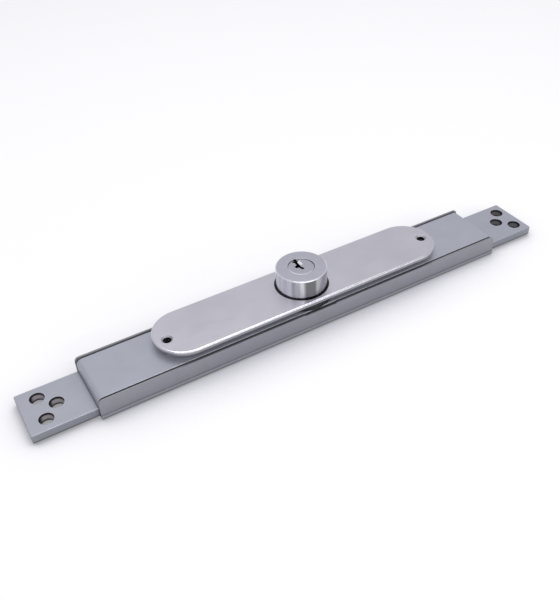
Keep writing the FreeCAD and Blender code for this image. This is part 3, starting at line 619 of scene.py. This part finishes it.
def nickel_plug(name, colour, roughness, face_height, seed):
    """Plug: turned satin face, white painted highlight on its key guide and sloping faces, painted
    shade inside its keyway.
    """
    finish = Finish(name)
    on_face, rings, hoops = turned_rings(finish, seed)
    clouds = finish.noise(2.0, detail=3.0, seed=seed + 2)
    up = finish.facing_up()
    slope = finish.between(up, 0.2, 0.4) * (1.0 - on_face)
    deep = 1.0 - finish.between(
        finish.height(), face_height - KEYWAY_DARK, face_height - KEYWAY_LIT)
    dark = ((1.0 - finish.between(up, 0.1, 0.3)) + deep).at_most(1.0)
    base = finish.clouded(colour, clouds, dark=0.92, light=1.06)
    base = finish.tint(base, rings * 0.25, shade(colour, 1.15))
    # Painted highlight: sloping faces and the key guide white
    base = finish.tint(base, slope, GUIDE_HIGHLIGHT)
    # Painted shade inside the keyway and on its walls
    base = finish.tint(base, dark, shade(colour, 0.015))
    guide = near_holes(finish, (GUIDE_MIDDLE,), GUIDE_RADIUS)
    # Painted highlight: the key guide and near chamfer are made less metallic so their white shows
    # bright
    white = slope * (guide + facing_front(finish, 0.35, 0.6)).at_most(1.0)
    rough = roughness + (clouds - 0.5) * 0.06 + slope * 0.2 + dark * 0.4
    finish.set(
        Base_Color=base, Metallic=1.0 - white * 0.8, Roughness=rough,
        Normal=rounded_edges(finish, 0.08, rings + hoops * 0.25, strength=0.12))
    return finish.material


def dull_metal(name, colour, roughness, seed):
    """Small machined parts: grained metal with darker clouds and painted shade in recesses."""
    finish = Finish(name)
    clouds = finish.noise(1.8, detail=3.0, seed=seed)
    grain = finish.noise(0.2, detail=2.0, seed=seed + 1)
    base = finish.clouded(colour, clouds, dark=0.82, light=1.12)
    # Painted shade in recesses
    base = finish.tint(base, finish.recess(2.0), shade(colour, 0.03))
    rough = roughness + (clouds - 0.5) * 0.12 + (grain - 0.5) * 0.08
    finish.set(
        Base_Color=base, Metallic=1.0, Roughness=rough,
        Normal=rounded_edges(finish, 0.12, grain, strength=0.2))
    return finish.material


def moulded(name, colour, roughness, seed):
    """Matt moulded rubber or nylon with a fine skin."""
    finish = Finish(name)
    skin = finish.noise(0.25, detail=3.0, seed=seed)
    clouds = finish.noise(4.0, detail=2.0, seed=seed + 1)
    base = finish.clouded(colour, clouds, dark=0.8, light=1.25)
    rough = roughness + (skin - 0.5) * 0.15
    finish.set(
        Base_Color=base, Metallic=0.0, Roughness=rough,
        Normal=rounded_edges(finish, 0.15, skin, strength=0.3))
    return finish.material


def dress(material, *nodes):
    """Gives the named pieces of the frame their finish."""
    for name in nodes:
        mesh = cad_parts[name].data
        mesh.materials.clear()
        mesh.materials.append(material)


def node_top(name):
    """Top of a piece of the frame in millimetres."""
    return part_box(name)[1].z / MM


def numbered(stem):
    """The frame's pieces whose names begin with a stem."""
    return [name for name in sorted(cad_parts) if name.startswith(stem)]


class LOCK_OT_case(bpy.types.Operator):
    """Finish the folded case and its lid"""

    bl_idname = "lock.case"
    bl_label = "Case and lid"

    def execute(self, context):
        finishes = context.scene.lock_finishes
        roughness = finishes.satin_roughness
        dress(
            folded_case(
                "case_zinc", finishes.case_colour, finishes.edge_colour, roughness,
                wall_height=node_top("base_tray"), seed=0.0),
            "base_tray")
        dress(
            zinc_plate(
                "lid_zinc", finishes.lid_colour, roughness, side_painted_shade=0.75, seed=20.0,
                metallic=0.3, strip=True, far_loss=FAR_SEAM_LOSS),
            "lid")
        return {"FINISHED"}


class LOCK_OT_cover(bpy.types.Operator):
    """Finish the cover plate and the black ring in its bore"""

    bl_idname = "lock.cover"
    bl_label = "Cover plate and ring"

    def execute(self, context):
        finishes = context.scene.lock_finishes
        dress(
            brushed_plate("plate_satin", finishes.plate_colour, finishes.plate_roughness),
            "cover_plate")
        dress(
            moulded("ring_rubber", finishes.collar_colour, roughness=0.6, seed=60.0),
            "centring_collar")
        return {"FINISHED"}


class LOCK_OT_cylinder(bpy.types.Operator):
    """Finish the cap, the plug, the core and the pins inside it"""

    bl_idname = "lock.cylinder"
    bl_label = "Cylinder"

    def execute(self, context):
        finishes = context.scene.lock_finishes
        dress(
            polished_cap(
                "cap_polished", finishes.cap_colour, finishes.cap_side_colour,
                side_roughness=finishes.polish_roughness, face_roughness=0.40, seed=30.0),
            "cylinder_cap")
        dress(
            nickel_plug(
                "plug_nickel", finishes.plug_colour, roughness=0.36,
                face_height=node_top("plug"), seed=40.0),
            "plug")
        dress(
            dull_metal("brass_machined", finishes.brass_colour, roughness=0.35, seed=50.0),
            "cylinder_core", *numbered("driver_pin"))
        # The key pins get painted shade
        dress(
            dull_metal("key_pins_shaded", finishes.key_pin_shade_colour, roughness=0.5, seed=51.0),
            *numbered("key_pin"))
        dress(
            dull_metal("spring_steel", finishes.spring_colour, roughness=0.38, seed=52.0),
            "plug_clip", *numbered("pin_spring"))
        return {"FINISHED"}


class LOCK_OT_bolts(bpy.types.Operator):
    """Finish the two sliding bolts"""

    bl_idname = "lock.bolts"
    bl_label = "Bolts"

    def execute(self, context):
        finishes = context.scene.lock_finishes
        for name, holes, hole_lit_colour, seed in (
                ("bolt_left", LEFT_HOLES, LEFT_HOLE_LIT_COLOUR, 80.0),
                ("bolt_right", RIGHT_HOLES, RIGHT_HOLE_LIT_COLOUR, 88.0)):
            levels = [corner.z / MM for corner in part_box(name)]
            bar = zinc_plate(
                name + "_zinc", finishes.bolt_colour, finishes.satin_roughness,
                side_painted_shade=0.62, seed=seed, holes=holes, levels=levels, hole_lit_colour=hole_lit_colour)
            dress(bar, name)
        return {"FINISHED"}


class LOCK_OT_inner_parts(bpy.types.Operator):
    """Finish the pinion, its washer and the fasteners"""

    bl_idname = "lock.inner_parts"
    bl_label = "Pinion and fasteners"

    def execute(self, context):
        finishes = context.scene.lock_finishes
        dress(
            dull_metal("gear_oiled", finishes.gear_colour, roughness=0.32, seed=54.0),
            "drive_pinion")
        dress(
            moulded("washer_nylon", finishes.washer_colour, roughness=0.45, seed=56.0),
            "thrust_washer")
        dress(
            dull_metal("fastener_zinc", finishes.fastener_colour, roughness=0.36, seed=58.0),
            *numbered("inner_post"), *numbered("outer_post"), *numbered("lid_screw"),
            *numbered("flange_rivet"), *numbered("plate_stud"))
        return {"FINISHED"}


def area_lamp(name, location, aim, size, power):
    """Soft lamp with two sides in metres, turned from its place to shine at a point."""
    data = bpy.data.lights.new(name, "AREA")
    data.shape = "RECTANGLE"
    data.size, data.size_y = size
    data.energy = power
    lamp = bpy.data.objects.new(name, data)
    lamp.location = location
    away = Vector(location) - Vector(aim)
    lamp.rotation_euler = away.to_track_quat("Z", "Y").to_euler()
    bpy.context.scene.collection.objects.link(lamp)


def flat_square(name, side, z):
    """Level square round the lock's middle, at a height in metres."""
    mesh = bpy.data.meshes.new(name)
    half = side / 2
    corners = [(-half, -half, z), (half, -half, z), (half, half, z), (-half, half, z)]
    mesh.from_pydata(corners, [], [(0, 1, 2, 3)])
    made = bpy.data.objects.new(name, mesh)
    bpy.context.scene.collection.objects.link(made)
    return made


def seen_directly(finish):
    """1 on rays from the camera or off a mirror or glass, 0 on rays that carry light."""
    rays = (
        finish.node("ShaderNodeLightPath", output=name)
        for name in ("Is Camera Ray", "Is Glossy Ray", "Is Transmission Ray"))
    return sum(rays).at_most(1.0)


def floor_paint(colour):
    """Pale matt floor that fades to white, keeps the shadow and has painted shade beside the lock.
    """
    finish = Finish("floor_paint")
    speckle = finish.noise(0.8, detail=2.0, seed=90.0)
    finish.set(Roughness=0.9, Specular_IOR_Level=0.0)
    # Painted shade on the floor near the lock and a darker painted contact shadow under its edges
    near = finish.recess(NEAR_SHADE_REACH, shut=0.45, clear=1.02)
    base = finish.tint(shade(colour, 0.99), speckle, colour)
    base = finish.tint(base, near * 0.92, NEAR_SHADE)
    contact = finish.recess(CONTACT_SHADE_REACH, shut=0.25, clear=0.8)
    finish.set(Base_Color=finish.tint(base, contact * 0.6, CONTACT_SHADE))
    glow = finish.node("ShaderNodeEmission", None, (WHITE, 1.0))
    paint = Socket(finish, finish.shader.outputs["BSDF"])
    mixed = finish.node(
        "ShaderNodeMixShader", None, (seen_directly(finish) * FLOOR_GLOW, paint, glow))
    finish.feed(finish.tree.nodes["Material Output"].inputs["Surface"], mixed)
    return finish.material


def studio_world(colour, strength):
    """Even cool light all round, plain white where it is seen."""
    world = bpy.data.worlds.new("studio")
    world.use_nodes = True
    bpy.context.scene.world = world
    sky = Shading(world.node_tree)
    seen = sky.node("ShaderNodeLightPath", output="Is Camera Ray")
    level = sky.node(
        "ShaderNodeMapRange", None, {"Value": seen, "To Min": strength, "To Max": 1.0})
    background = sky.tree.nodes["Background"].inputs
    sky.feed(background["Strength"], level)
    sky.feed(background["Color"], sky.tint(colour, seen, WHITE))


def photo_camera(stage):
    """Camera that sees the lock from its left front, a little above."""
    azimuth, elevation = stage.azimuth, stage.elevation
    back = Vector((
        math.sin(azimuth) * math.cos(elevation),
        -math.cos(azimuth) * math.cos(elevation),
        math.sin(elevation)))
    right = Vector((0, 0, 1)).cross(back).normalized()
    up = back.cross(right)
    turn = Matrix((right, up, back)).transposed() @ Matrix.Rotation(stage.roll, 3, "Z")
    data = bpy.data.cameras.new("photo_camera")
    data.sensor_width = SENSOR_WIDTH
    data.lens = SENSOR_WIDTH * stage.focal_pixels / FRAME_HEIGHT
    data.shift_x, data.shift_y = stage.shift_x, stage.shift_y
    camera = bpy.data.objects.new("photo_camera", data)
    camera.matrix_world = Matrix.Translation(
        Vector(stage.target) + back * stage.distance) @ turn.to_4x4()
    bpy.context.scene.collection.objects.link(camera)
    bpy.context.scene.camera = camera


class LOCK_OT_stage(bpy.types.Operator):
    """Build the floor, the lamps and the camera"""

    bl_idname = "lock.stage"
    bl_label = "Stage"

    def execute(self, context):
        stage = context.scene.lock_stage
        floor = flat_square("floor", stage.floor_size, CAD_BOX[0].z)
        floor.data.materials.append(floor_paint(stage.floor_colour))
        studio_world(stage.world_colour, stage.world_strength)
        for name, place, sides, power in LAMPS:
            area_lamp(name, place, LAMP_AIM, sides, power)
        photo_camera(stage)
        context.scene.view_settings.view_transform = "Standard"
        return {"FINISHED"}


OPERATORS = (
    LOCK_OT_case, LOCK_OT_cover, LOCK_OT_cylinder, LOCK_OT_bolts, LOCK_OT_inner_parts,
    LOCK_OT_stage)


class LOCK_PT_panel(bpy.types.Panel):
    """Buttons and settings of the lock"""

    bl_label = "Shutter lock"
    bl_space_type = "VIEW_3D"
    bl_region_type = "UI"
    bl_category = "Shutter lock"

    def draw(self, context):
        layout = self.layout
        for operator in OPERATORS:
            layout.operator(operator.bl_idname)
        for group in (context.scene.lock_finishes, context.scene.lock_stage):
            box = layout.box()
            for name in group.__annotations__:
                box.prop(group, name)


CLASSES = (LockFinishes, LockStage) + OPERATORS + (LOCK_PT_panel,)


def register():
    for item in CLASSES:
        bpy.utils.register_class(item)
    bpy.types.Scene.lock_finishes = PointerProperty(type=LockFinishes)
    bpy.types.Scene.lock_stage = PointerProperty(type=LockStage)


def unregister():
    del bpy.types.Scene.lock_stage
    del bpy.types.Scene.lock_finishes
    for item in reversed(CLASSES):
        bpy.utils.unregister_class(item)


def main():
    """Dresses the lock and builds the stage."""
    register()
    for operator in OPERATORS:
        group, name = operator.bl_idname.split(".")
        getattr(getattr(bpy.ops, group), name)()


if __name__ == "__main__":
    main()
